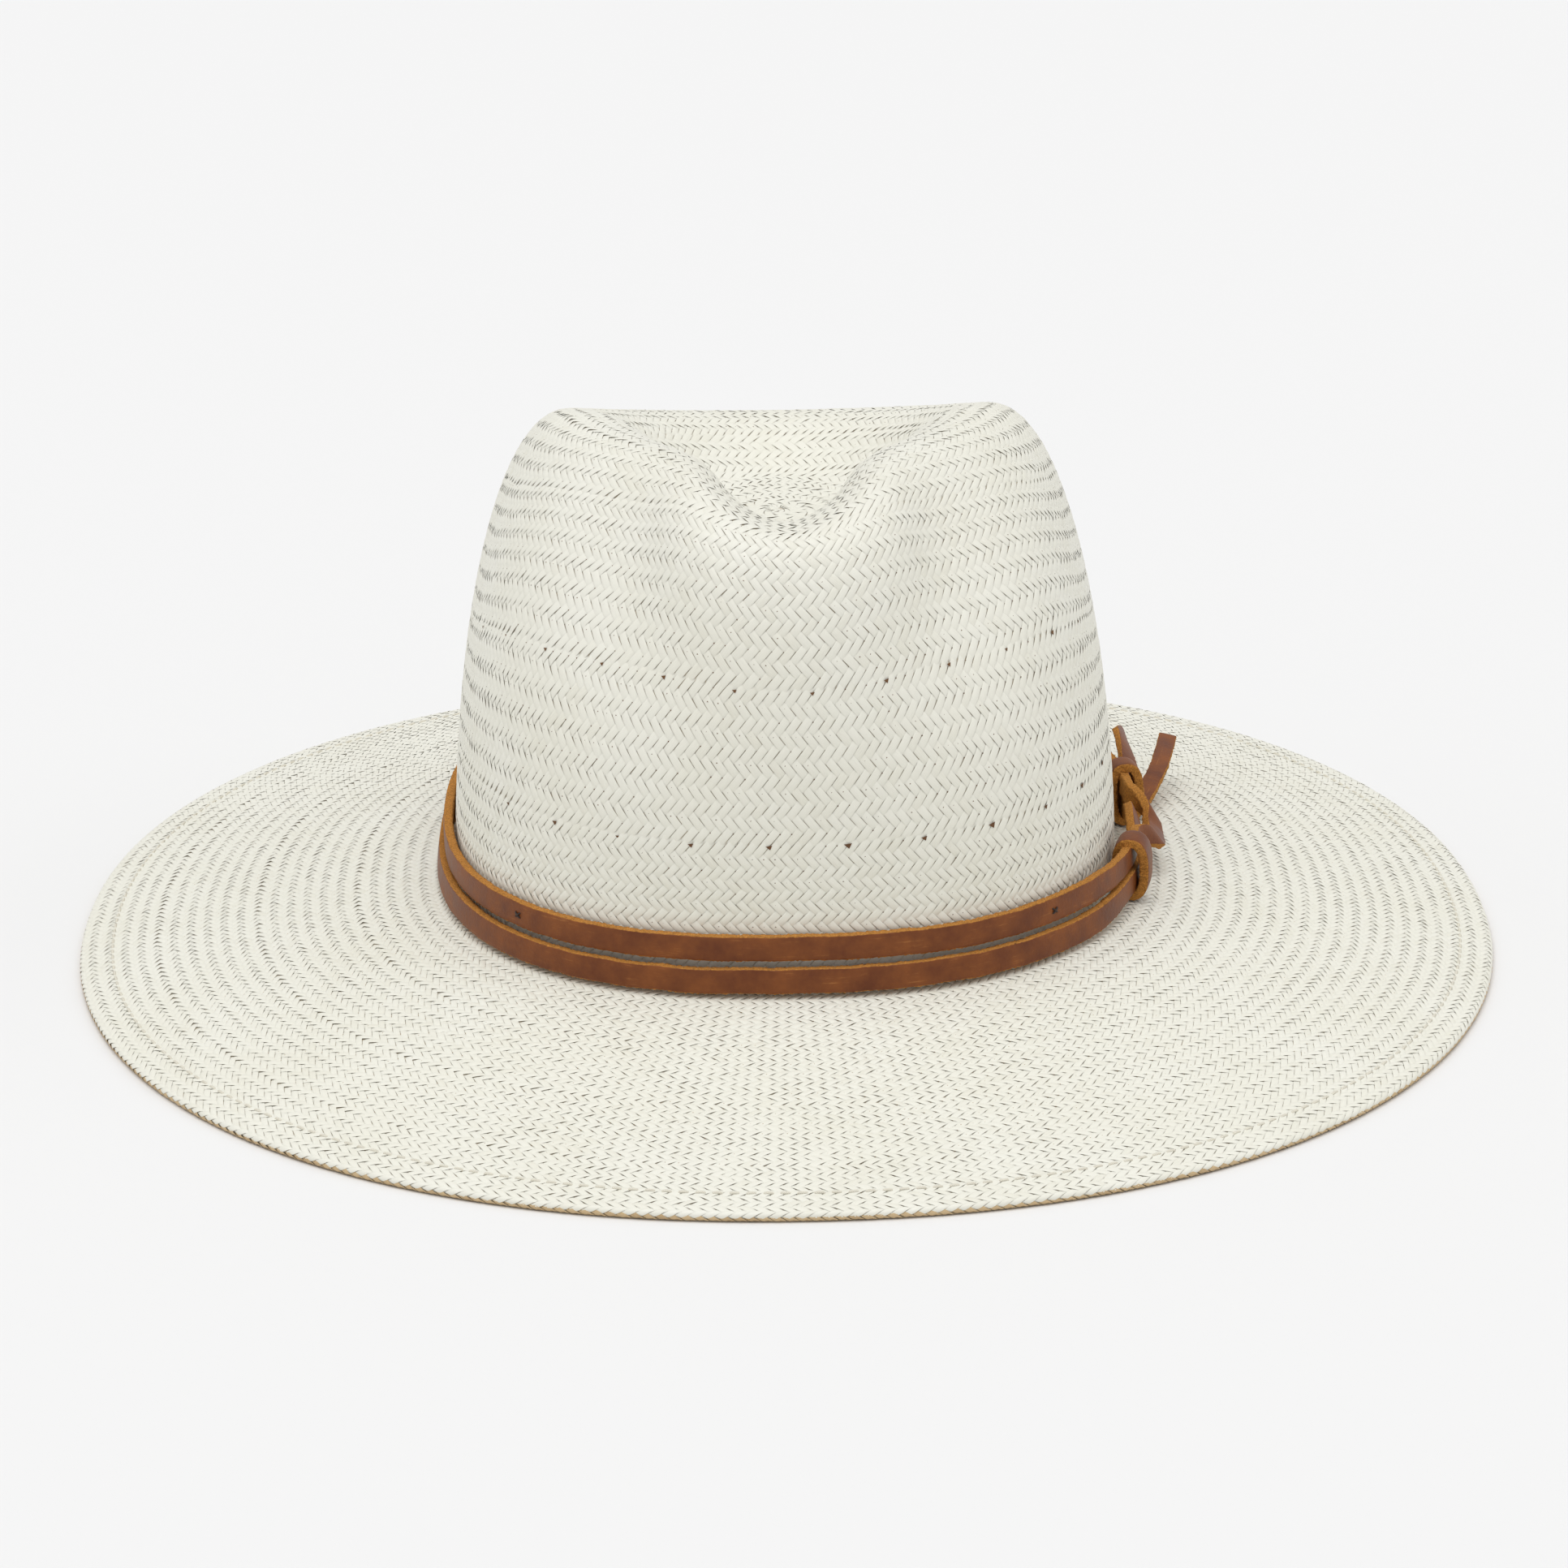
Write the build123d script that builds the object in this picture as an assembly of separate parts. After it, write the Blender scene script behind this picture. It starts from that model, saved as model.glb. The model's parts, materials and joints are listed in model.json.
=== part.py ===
from build123d import *
import os
from math import asin, atan2, cos, exp, hypot, pi, radians, sin

# Panama hat, millimetres. +Z is up, the hat rests on the rim of its brim at Z = 0,
# and the front of the hat faces -Y. The lace knots are on the +X side.

# ---------------------------------------------------------------- driving dimensions
# crown, outside of the straw
crown_half_width = 85.0        # at the brim break, along X
crown_half_length = 101.5      # at the brim break, along Y
crown_squareness = 2.4         # 2 is an ellipse, more is squarer
crown_height = 119.0           # brim break to the side ridges
wall_fullness = 0.93           # 1 is a quarter ellipse from brim to ridge, less is fuller
front_drop = 11.0              # how much lower the ridge is at the front pinch
back_drop = 17.0               # how much lower the ridge is at the back
front_drop_power = 5           # more keeps the drop nearer the middle of the front
back_drop_power = 1.3

# ridge of the teardrop crease, seen from above
ridge_half_width = 50.0
ridge_half_length = 73.0
ridge_shift = -7.0             # towards the front
ridge_taper = 0.35             # narrows the ridge towards the front
crease_depth = 29.0            # side ridges to the crease floor
floor_half_width = 9.0
floor_half_length = 20.0
floor_shift = 8.0
crease_softness = 1.2          # more is a slower start down from the ridge
crease_back_steepness = 0.3    # share of the run that the back of the crease saves

# finger pinches at both sides of the front
pinch_depth = 8.0
pinch_angle = -42.0            # degrees from +X, mirrored for the other side
pinch_spread = 24.0            # degrees
pinch_level = 0.84             # share of the height of the wall
pinch_reach = 0.25             # share of the height of the wall
pinch_lengthwise = 0.6         # share of the dent that also moves along Y
pinch_ridge_loss = 0.5         # share of the dent that is lost at the ridge

# brim
brim_width = 97.0
brim_squareness = 2.14
brim_rise = 16.4               # the brim slopes up from its edge to the break
straw = 1.3                    # thickness of the woven straw
hem_width = 9.0                # straw folded under at the edge and stitched
hem_thickness = 2.4
bead_height = 2.8              # plump rounded fold at the edge
bead_width = 4.0
bead_round = 0.8
foot_trim = 0.3                # cut off the round below, so that the hat stands on a flat
slab_inset = 2.0               # where the sloping brim enters the bead
fold_step = 0.2                # run of the steep sides of the fold
wire_diameter = 1.0
wire_inset = 1.7
wire_clearance = 0.05
brim_thread = 0.6
brim_stitch_inset = 8.5

# sweatband
band_gap = 0.35                # between soft pieces that lie on each other
thread_gap = 0.05              # between a thread and what it is sewn to
sweatband_height = 33.0
sweatband_thickness = 1.1
sweatband_hang = 0.6           # lower edge below the brim break
reed_diameter = 2.0
sweat_thread = 0.5
sweat_stitch_height = 6.0
bow_width = 14.0
bow_height = 6.0
bow_thickness = 1.2
bow_knot = 3.0
bow_level = 12.0               # above the brim break
label_start = 14.0             # from the middle of the back, towards -X
label_width = 24.0
label_height = 14.0
label_level = 9.0              # above the brim break
label_thickness = 0.4

# leather lace of the hat band
lace_height = 5.6
lace_thickness = 2.6
lace_gap = 0.9                 # between the two laps of lace
lace_lift = 2.0                # lower lap above the brim break
lap_step = 0.8                 # the lower lap stands out by this much more
knot_stand_off = 3.4           # how far the laps stand off the crown at the knots
knot_angle = -7.0              # degrees from +X, middle of the stand-off
knot_spread = 34.0             # degrees
keeper_length = 7.0            # along the lace
keeper_wall = 1.6
keeper_room = 1.8              # for the tail's start, outside the laps
keeper_clearance = 0.35
keeper_round = 1.2
front_keeper_y = -38.0
rear_keeper_y = 19.0
tail_thickness = 2.2
tail_width = 4.6
tail_root_gap = 0.6
lower_tail_lift = 1.0          # underside of the root above the straw below it
upper_tail_lift = 6.0
lower_tail_tip_lift = 11.0      # underside of the tip above the straw below it
upper_tail_tip_lift = 14.0
tail_point = 7.0               # length of the slanted end of the upper tail
upper_tail_length = 43.0
upper_tail_turn = -1.0         # degrees from the lace's direction, towards the crown
lower_tail_length = 48.0
lower_tail_turn = -22.0        # degrees, away from the crown
tack_angles = (-131.0, -51.0)  # degrees from +X, on the upper lap
tack_size = 2.4
tack_wire = 0.5

ring_points = 40
thread_sides = 8

# ---------------------------------------------------------------- derived levels
slab_level = 2.6
break_level = slab_level + brim_rise
ridge_level = break_level + crown_height
floor_level = ridge_level - crease_depth
edge_half_width = crown_half_width + brim_width
edge_half_length = crown_half_length + brim_width
lower_lap_level = break_level + lace_lift
upper_lap_level = lower_lap_level + lace_height + lace_gap
laps_top = upper_lap_level + lace_height


# ---------------------------------------------------------------- curves
def oval(half_x, half_y, squareness, angle):
    """Point of a rounded-square oval in the direction of the angle."""
    reach = abs(cos(angle) / half_x) ** squareness + abs(sin(angle) / half_y) ** squareness
    radius = reach ** (-1.0 / squareness)
    return radius * cos(angle), radius * sin(angle)


def angles():
    return [2 * pi * k / ring_points for k in range(ring_points)]


def base_oval(offset, angle):
    """Oval of the brim break, offset outwards."""
    return oval(crown_half_width + offset, crown_half_length + offset, crown_squareness, angle)


def edge_oval(inset, angle):
    """Oval of the brim's edge, inset inwards."""
    return oval(edge_half_width - inset, edge_half_length - inset, brim_squareness, angle)


def flat_ring(curve, offset, level):
    """Closed smooth wire of a curve at one level."""
    points = [(*curve(offset, angle), level) for angle in angles()]
    return Wire([Edge.make_spline(points, periodic=True)])


def block(curve, offset, low, high):
    """Solid between two levels inside a curve."""
    ring = Face(flat_ring(curve, offset, low))
    return Solid.extrude(ring, Vector(0, 0, high - low))


def collar(curve, outer, inner, low, high):
    """Upright ring between two offsets of a curve."""
    return block(curve, outer, low, high) - block(curve, inner, low - 1, high + 1)


# ---------------------------------------------------------------- crown surface
def ridge(angle):
    """Point on the ridge of the crown."""
    x = ridge_half_width * cos(angle) * (1 + ridge_taper * sin(angle))
    y = ridge_shift + ridge_half_length * sin(angle)
    front = max(0.0, -sin(angle)) ** front_drop_power
    back = max(0.0, sin(angle)) ** back_drop_power
    return x, y, ridge_level - front_drop * front - back_drop * back


def pinch(angle, share):
    """Inward dent of the finger pinches on the front of the crown."""
    spread = radians(pinch_spread)
    reach = exp(-((share - pinch_level) / pinch_reach) ** 2)
    total = 0.0
    for centre in (radians(pinch_angle), pi - radians(pinch_angle)):
        away = (angle - centre + pi) % (2 * pi) - pi
        total += exp(-(away / spread) ** 2)
    return pinch_depth * reach * total


def wall_point(angle, v):
    """Outside of the wall: v runs from 0 at the brim break to 1 at the ridge."""
    rx, ry, rz = ridge(angle)
    bx, by = base_oval(0, angle)
    share = sin(v * pi / 2)
    out = cos(v * pi / 2) ** wall_fullness if v < 1 else 0.0
    dent = pinch(angle, share) * (1 - pinch_ridge_loss * v ** 4)
    x = rx + (bx - rx) * out
    y = ry + (by - ry) * out
    return (x - dent * cos(angle), y - pinch_lengthwise * dent * sin(angle),
            break_level + (rz - break_level) * share)


def crease_point(angle, w):
    """Outside of the crease: w runs from 0 at the ridge to 1 at the flat floor."""
    rx, ry, rz = wall_point(angle, 1.0)
    fx, fy = oval(floor_half_width, floor_half_length, 2.0, angle)
    run = 1.0 - crease_back_steepness * max(0.0, sin(angle))
    fall = sin(pi / 2 * min(1.0, w / run) ** crease_softness) ** 2
    return (rx + (fx - rx) * w, ry + (fy + floor_shift - ry) * w,
            rz + (floor_level - rz) * fall)


def crown_point(angle, v, depth=0.0):
    """Crown surface for v in 0..2, moved inwards by a depth along its normal."""
    point = wall_point(angle, v) if v <= 1 else crease_point(angle, v - 1)
    if depth == 0:
        return point
    step = 1e-3
    low = max(0.0, v - step) if v <= 1 else v - step
    high = min(2.0, v + step) if v > 1 else v
    here = Vector(*crown_point(angle, low))
    along_v = Vector(*crown_point(angle, high)) - here if high > low else Vector(0, 0, 1)
    along_u = Vector(*crown_point(angle + step, v)) - Vector(*point)
    normal = along_u.cross(along_v).normalized()
    moved = Vector(*point) - normal * depth
    return moved.X, moved.Y, moved.Z


def crown_ring(v, depth):
    points = [crown_point(angle, v, depth) for angle in angles()]
    if v == 2:
        points = [(x, y, floor_level - depth) for x, y, z in points]
    return Wire([Edge.make_spline(points, periodic=True)])


def crown_rings(depth):
    """Rings of the crown from the brim break, over the ridge, to the crease floor."""
    walls = (0.1, 0.2, 0.3, 0.4, 0.5, 0.6, 0.7, 0.79, 0.87, 0.94, 1.0)
    creases = (1.08, 1.17, 1.28, 1.4, 1.52, 1.64, 1.78, 2.0)
    return [crown_ring(v, depth) for v in walls + creases]


# ---------------------------------------------------------------- straw body
def slope_level(inset):
    """Level of the top of the sloping brim at an inset from its edge."""
    return slab_level + brim_rise * (inset - slab_inset) / (brim_width - slab_inset)


def brim_rings():
    """Rings from the top of the brim, round its rolled edge, to its underside."""
    hem_in = slope_level(hem_width)
    profile = ((bead_width, slope_level(bead_width)),
               (bead_round + slab_inset, bead_height),
               (bead_round, bead_height - fold_step),
               (0.0, bead_height / 2),
               (bead_round, 0.0),
               (bead_width / 2, -foot_trim),
               (bead_width, 0.0),
               (bead_width + fold_step, slope_level(bead_width) - hem_thickness),
               (hem_width, hem_in - hem_thickness),
               (hem_width + fold_step, hem_in - straw))
    return [flat_ring(edge_oval, inset, level) for inset, level in profile]


def make_straw_body():
    """One woven piece: both skins in one run of rings, from floor to floor."""
    rings = crown_rings(0)[::-1]
    rings += [flat_ring(base_oval, 0.0, break_level)]
    rings += brim_rings()
    rings += [flat_ring(base_oval, -straw, break_level - straw)]
    rings += crown_rings(straw)
    body = Solid.make_loft(rings, ruled=True)
    below = Pos(0, 0, -foot_trim) * Box(3 * edge_half_width, 3 * edge_half_length, 2 * foot_trim)
    channel = flat_ring(edge_oval, wire_inset, bead_height / 2)
    channel = round_sweep(channel, wire_diameter / 2 + wire_clearance)
    return body - below - channel


def brim_level_at(x, y):
    """Level of the top of the brim below a point outside the crown."""
    angle = atan2(y, x)
    inner = hypot(*base_oval(0, angle))
    outer = hypot(*edge_oval(slab_inset, angle))
    share = (hypot(x, y) - inner) / (outer - inner)
    return break_level - brim_rise * share


def make_edge_wire():
    return thread_sweep(flat_ring(edge_oval, wire_inset, bead_height / 2), wire_diameter / 2)


def make_brim_stitching():
    level = slope_level(brim_stitch_inset) + thread_gap + brim_thread / 2
    return thread_sweep(flat_ring(edge_oval, brim_stitch_inset, level), brim_thread / 2)


# ---------------------------------------------------------------- sweatband
def level_points(level, depth):
    """Points of the crown's wall at one level, moved inwards by a depth."""
    points = []
    for angle in angles():
        share = max(0.0, level - break_level) / (ridge(angle)[2] - break_level)
        x, y, z = crown_point(angle, asin(share) * 2 / pi, depth)
        points.append((x, y, level))
    return points


def level_ring(level, depth):
    return Wire([Edge.make_spline(level_points(level, depth), periodic=True)])


def lining_form(depth, low, high):
    """Solid inside the crown's wall at a depth, between two levels."""
    middle = (low + high) / 2
    rings = [level_ring(level, depth) for level in (low, middle, high)]
    return Solid.make_loft(rings, ruled=True)


def lining(depth, thickness, low, high):
    return lining_form(depth, low, high) - lining_form(depth + thickness, low - 1, high + 1)


sweatband_depth = straw + band_gap
sweatband_low = break_level - sweatband_hang
sweatband_face = sweatband_depth + sweatband_thickness


def make_sweatband():
    return lining(sweatband_depth, sweatband_thickness, sweatband_low,
                  sweatband_low + sweatband_height)


def make_sweatband_reed():
    level = sweatband_low - thread_gap - reed_diameter / 2
    path = flat_ring(base_oval, -sweatband_depth - reed_diameter / 2, level)
    return round_sweep(path, reed_diameter / 2)


def make_sweatband_stitching():
    level = sweatband_low + sweat_stitch_height
    path = level_ring(level, sweatband_face + band_gap + sweat_thread / 2)
    return thread_sweep(path, sweat_thread / 2)


def back_patch(thickness, low, high, left, right):
    """Part of a lining on the sweatband's face at the back, between two X positions."""
    sheet = lining(sweatband_face + band_gap, thickness, low, high)
    room = Box(right - left, crown_half_length, 4 * (high - low))
    return sheet & Pos((left + right) / 2, crown_half_length, low) * room


def make_sweatband_bow():
    low = break_level + bow_level
    middle = low + bow_height / 2
    loops = back_patch(bow_thickness, low, low + bow_height, -bow_width / 2, bow_width / 2)
    knot = back_patch(2 * bow_thickness, middle - bow_knot / 2, middle + bow_knot / 2,
                      -bow_knot / 2, bow_knot / 2)
    return loops + knot


def make_size_label():
    low = break_level + label_level
    return back_patch(label_thickness, low, low + label_height,
                      -label_start - label_width, -label_start)


# ---------------------------------------------------------------- hat band
def stand_off(angle):
    """How far the laces stand off the crown: most beside the knots."""
    away = (angle - radians(knot_angle) + pi) % (2 * pi) - pi
    return knot_stand_off * exp(-(away / radians(knot_spread)) ** 4)


def lap_curve(offset, angle):
    return base_oval(offset + stand_off(angle), angle)


def make_lap(step, level):
    """One lap of the lace round the crown."""
    inner = band_gap + step
    return collar(lap_curve, inner + lace_thickness, inner, level, level + lace_height)


def knot_frame(y):
    """Place on the inner face of the upper lap: X outwards, Y along the lace."""
    angle = atan2(y, crown_half_width)
    for _ in range(6):
        angle = asin(y / hypot(*lap_curve(band_gap, angle)))
    x, y = lap_curve(band_gap, angle)
    span = keeper_length / 2 / hypot(x, y)
    ax, ay = lap_curve(band_gap, angle - span)
    bx, by = lap_curve(band_gap, angle + span)
    along = Vector(bx - ax, by - ay, 0).normalized()
    return Plane(origin=((ax + bx) / 2, (ay + by) / 2, 0), x_dir=(along.Y, -along.X, 0),
                 z_dir=(0, 0, 1))


laps_depth = lap_step + lace_thickness


def make_keeper(y):
    """Leather ring that gathers both laps: it slides along them with some friction."""
    gap, wall = keeper_clearance, keeper_wall
    depth = laps_depth + keeper_room + 2 * gap
    height = laps_top - lower_lap_level + 2 * gap
    middle = Pos(depth / 2 - gap, 0, (laps_top + lower_lap_level) / 2)
    ring = Box(depth + 2 * wall, keeper_length, height + 2 * wall)
    ring = fillet(ring.edges().filter_by(Axis.Y), keeper_round)
    ring = ring - Box(depth, 2 * keeper_length, height)
    return knot_frame(y).location * middle * ring


def tail_frame(lift, tip_lift, length, turn):
    """Root frame of a tail: X along the tail, Z upwards from its flat face."""
    knot = knot_frame(rear_keeper_y)
    start = keeper_length / 2 + tail_root_gap
    out = laps_depth + keeper_clearance + tail_width / 2
    root = knot.from_local_coords(Vector(out, start, 0))
    ahead = knot.y_dir.rotate(Axis.Z, turn)
    side = ahead.rotate(Axis.Z, 90)
    tip = root + ahead * length
    low = max(brim_level_at(root.X + side.X * k, root.Y + side.Y * k)
              for k in (-tail_width / 2, tail_width / 2))
    root_level = low + lift
    tip_level = brim_level_at(tip.X, tip.Y) + tip_lift
    line = Vector(tip.X - root.X, tip.Y - root.Y, tip_level - root_level).normalized()
    return Plane(origin=(root.X, root.Y, root_level), x_dir=line,
                 z_dir=line.cross(side).normalized())


def tail_strip(start, length, point):
    """Flat lace end, cut square or slanted, without its root."""
    half = tail_width / 2
    outline = Polyline((start, -half), (length, -half), (length - point, half), (start, half),
                       close=True)
    return extrude(make_face(outline), tail_thickness)


def upper_tail_frame():
    return tail_frame(upper_tail_lift, upper_tail_tip_lift, upper_tail_length, upper_tail_turn)


def lower_tail_frame():
    return tail_frame(lower_tail_lift, lower_tail_tip_lift, lower_tail_length, lower_tail_turn)


def make_upper_tail():
    """Its root is rounded about the axis that it lifts on."""
    frame = upper_tail_frame()
    radius = tail_thickness / 2
    root = Pos(radius, 0, radius) * Rot(90, 0, 0) * Cylinder(radius, tail_width)
    return frame.location * (tail_strip(radius, upper_tail_length, tail_point) + root)


def make_lower_tail():
    """Its root is rounded about the axis that it swings on."""
    frame = lower_tail_frame()
    radius = tail_width / 2
    root = Pos(radius, 0, tail_thickness / 2) * Cylinder(radius, tail_thickness)
    return frame.location * (tail_strip(radius, lower_tail_length, 0.0) + root)


def make_tacks():
    """Small crossed stitches that hold the laps to the crown."""
    solids = []
    for degrees in tack_angles:
        angle = radians(degrees)
        x, y = lap_curve(band_gap + lace_thickness + thread_gap + tack_wire / 2, angle)
        nx, ny = lap_curve(band_gap + lace_thickness, angle + 1e-3)
        ox, oy = lap_curve(band_gap + lace_thickness, angle)
        along = Vector(nx - ox, ny - oy, 0).normalized()
        face = Plane(origin=(x, y, upper_lap_level + lace_height / 2), x_dir=along,
                     z_dir=(along.Y, -along.X, 0))
        cross = Box(tack_size, tack_wire, tack_wire) + Box(tack_wire, tack_size, tack_wire)
        solids.append(face.location * Rot(0, 0, 45) * cross)
    return Compound(children=solids)


def round_sweep(path, radius):
    plane = Plane(origin=path @ 0, z_dir=path % 0)
    return sweep(plane * Circle(radius), path=path)


def thread_sweep(path, radius):
    """Eight-sided tube for wire and thread."""
    plane = Plane(origin=path @ 0, z_dir=path % 0)
    return sweep(plane * RegularPolygon(radius, thread_sides), path=path)


def build():
    return {
        "straw_body": make_straw_body(),
        "brim_edge_wire": make_edge_wire(),
        "brim_stitching": make_brim_stitching(),
        "sweatband": make_sweatband(),
        "sweatband_reed": make_sweatband_reed(),
        "sweatband_stitching": make_sweatband_stitching(),
        "sweatband_bow": make_sweatband_bow(),
        "size_label": make_size_label(),
        "hatband_lower_lap": make_lap(lap_step, lower_lap_level),
        "hatband_upper_lap": make_lap(0.0, upper_lap_level),
        "front_keeper": make_keeper(front_keeper_y),
        "rear_keeper": make_keeper(rear_keeper_y),
        "upper_tail": make_upper_tail(),
        "lower_tail": make_lower_tail(),
        "band_tacks": make_tacks(),
    }


if __name__ == "__main__":
    os.makedirs("parts", exist_ok=True)
    for name, shape in build().items():
        export_step(shape, f"parts/{name}.step")
    upper, lower = upper_tail_frame(), lower_tail_frame()
    lift_pivot = upper.from_local_coords(Vector(tail_thickness / 2, 0, tail_thickness / 2))
    swing_pivot = lower.from_local_coords(Vector(tail_width / 2, 0, tail_thickness / 2))
    print("front keeper slides along", knot_frame(front_keeper_y).y_dir)
    print("rear keeper slides along", knot_frame(rear_keeper_y).y_dir)
    print("upper tail lifts at", lift_pivot, "about", -upper.y_dir)
    print("lower tail swings at", swing_pivot, "about", lower.z_dir)
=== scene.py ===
import bpy
import json
import numpy as np
from math import cos, pi, radians, sin
from mathutils import Euler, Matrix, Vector


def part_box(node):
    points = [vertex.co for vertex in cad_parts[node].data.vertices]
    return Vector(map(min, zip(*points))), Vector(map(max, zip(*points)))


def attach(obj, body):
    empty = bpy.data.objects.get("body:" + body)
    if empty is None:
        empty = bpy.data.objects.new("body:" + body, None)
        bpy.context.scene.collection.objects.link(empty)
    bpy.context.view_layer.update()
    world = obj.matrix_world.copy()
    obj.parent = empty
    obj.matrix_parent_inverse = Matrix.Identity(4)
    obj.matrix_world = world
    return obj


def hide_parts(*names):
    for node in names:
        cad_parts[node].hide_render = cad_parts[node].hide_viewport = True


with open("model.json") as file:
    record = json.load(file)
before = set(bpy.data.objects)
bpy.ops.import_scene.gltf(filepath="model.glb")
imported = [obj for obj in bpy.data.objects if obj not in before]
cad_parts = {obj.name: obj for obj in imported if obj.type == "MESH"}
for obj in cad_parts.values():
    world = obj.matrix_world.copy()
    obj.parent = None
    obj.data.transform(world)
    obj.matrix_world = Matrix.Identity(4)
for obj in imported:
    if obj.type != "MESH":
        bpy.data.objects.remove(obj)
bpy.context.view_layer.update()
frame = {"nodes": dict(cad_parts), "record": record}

rng = np.random.default_rng(58)
HAT = "hat"

# ---------------------------------------------------------------- sizes, in metres
MM = 0.001
body_low, body_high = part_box("straw_body")
edge_half_width = body_high[0]
edge_half_length = body_high[1]
ridge_level = body_high[2]
brim_width = 97 * MM
crown_half_width = edge_half_width - brim_width
crown_half_length = edge_half_length - brim_width
crown_squareness = 2.4
brim_squareness = 2.14
crown_height = 119 * MM
break_level = ridge_level - crown_height
wall_fullness = 0.93
front_drop = 11 * MM
back_drop = 19 * MM
front_drop_power = 5
back_drop_power = 1.3
ridge_half_width = 50 * MM
ridge_half_length = 73 * MM
ridge_shift = -7 * MM
ridge_taper = 0.35
floor_level = ridge_level - 29 * MM
floor_half_width = 9 * MM
floor_half_length = 20 * MM
floor_shift = 8 * MM
crease_softness = 1.2
crease_back_steepness = 0.3
pinch_depth = 14 * MM
pinch_low_angle = radians(-61)
pinch_high_angle = radians(-40)
pinch_spread = radians(17)
pinch_level = 0.9
pinch_reach = 0.30
pinch_turn_start = 0.3
pinch_lengthwise = 0.6
pinch_ridge_loss = 0.5
straw_thickness = 1.3 * MM
slab_inset = 2 * MM
slab_level = 2.6 * MM
bead_radius = 1.4 * MM
hem_width = 9 * MM
hem_rise = 0.17
UP = np.array([0, 0, 1.0])
STEP = 1e-3


# ---------------------------------------------------------------- shape of the hat
def smooth_step(x, low, high):
    x = np.clip((x - low) / (high - low), 0, 1)
    return x * x * (3 - 2 * x)


def oval(half_x, half_y, squareness, angle):
    """Points of a rounded-square oval in the direction of each angle."""
    reach = np.abs(np.cos(angle) / half_x) ** squareness
    reach = reach + np.abs(np.sin(angle) / half_y) ** squareness
    radius = reach ** (-1.0 / squareness)
    return radius * np.cos(angle), radius * np.sin(angle)


def base_oval(offset, angle):
    return oval(crown_half_width + offset, crown_half_length + offset, crown_squareness, angle)


def edge_oval(inset, angle):
    return oval(edge_half_width - inset, edge_half_length - inset, brim_squareness, angle)


def ridge(angle):
    x = ridge_half_width * np.cos(angle) * (1 + ridge_taper * np.sin(angle))
    y = ridge_shift + ridge_half_length * np.sin(angle)
    front = np.maximum(0, -np.sin(angle)) ** front_drop_power
    back = np.maximum(0, np.sin(angle)) ** back_drop_power
    return x, y, ridge_level - front_drop * front - back_drop * back


def pinch(angle, v, share):
    """Depth of the two finger dents, which run nearly straight up the front."""
    reach = np.exp(-((share - pinch_level) / pinch_reach) ** 2)
    valley = pinch_low_angle + (pinch_high_angle - pinch_low_angle) * smooth_step(v, pinch_turn_start, 1)
    total = 0
    for centre in (valley, pi - valley):
        away = (angle - centre + pi) % (2 * pi) - pi
        total = total + np.exp(-(away / pinch_spread) ** 2)
    return pinch_depth * reach * total


def wall_point(angle, v):
    """Outside of the crown's wall, from v = 0 at the brim to 1 at the ridge."""
    rx, ry, rz = ridge(angle)
    bx, by = base_oval(0, angle)
    share = np.sin(v * pi / 2)
    out = np.maximum(np.cos(v * pi / 2), 0) ** wall_fullness
    dent = pinch(angle, v, share) * (1 - pinch_ridge_loss * v ** 4)
    x = rx + (bx - rx) * out - dent * np.cos(angle)
    y = ry + (by - ry) * out - pinch_lengthwise * dent * np.sin(angle)
    return np.stack([x, y, break_level + (rz - break_level) * share], -1)


def crease_point(angle, w):
    """Inside of the crease, from w = 0 at the ridge to 1 at its floor."""
    top = wall_point(angle, np.ones_like(angle))
    fx, fy = oval(floor_half_width, floor_half_length, 2.0, angle)
    run = 1.0 - crease_back_steepness * np.maximum(0, np.sin(angle))
    fall = np.sin(pi / 2 * np.minimum(1.0, w / run) ** crease_softness) ** 2
    low = np.stack([fx, fy + floor_shift, np.full_like(fx, floor_level)], -1)
    w, fall = w[..., None], fall[..., None]
    flat = top + (low - top) * w
    return np.concatenate([flat[..., :2], (top + (low - top) * fall)[..., 2:]], -1)


def crown_point(angle, v):
    """Crown for v in 0..2, and its flat crease floor for v in 2..3."""
    wall = wall_point(angle, np.clip(v, 0, 1))
    crease = crease_point(angle, np.clip(v - 1, 0, 1))
    middle = np.array([0, floor_shift, floor_level])
    floor = middle + (crease - middle) * (1 - np.clip(v - 2, 0, 0.999))[..., None]
    return np.where((v <= 1)[..., None], wall, np.where((v <= 2)[..., None], crease, floor))


slope_length = np.hypot(brim_width - slab_inset, break_level - slab_level)
bead_length = pi * bead_radius
brim_length = slope_length + bead_length + hem_width - bead_radius


def brim_point(angle, run):
    """Brim by the distance from the crown: slope, rolled edge, then folded hem below."""
    share = np.clip(run / slope_length, None, 1)
    turn = np.clip((run - slope_length) / bead_radius, 0, pi)
    under = np.maximum(run - slope_length - bead_length, 0)
    inset = brim_width + (bead_radius - brim_width) * share
    inset = inset - bead_radius * np.sin(turn) + under
    level = break_level + (2 * bead_radius - break_level) * share
    level = level - bead_radius * (1 - np.cos(turn)) + hem_rise * under
    bx, by = base_oval(0, angle)
    ex, ey = edge_oval(0, angle)
    mix = 1 - inset / brim_width
    return np.stack([bx + (ex - bx) * mix, by + (ey - by) * mix, level], -1)


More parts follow.
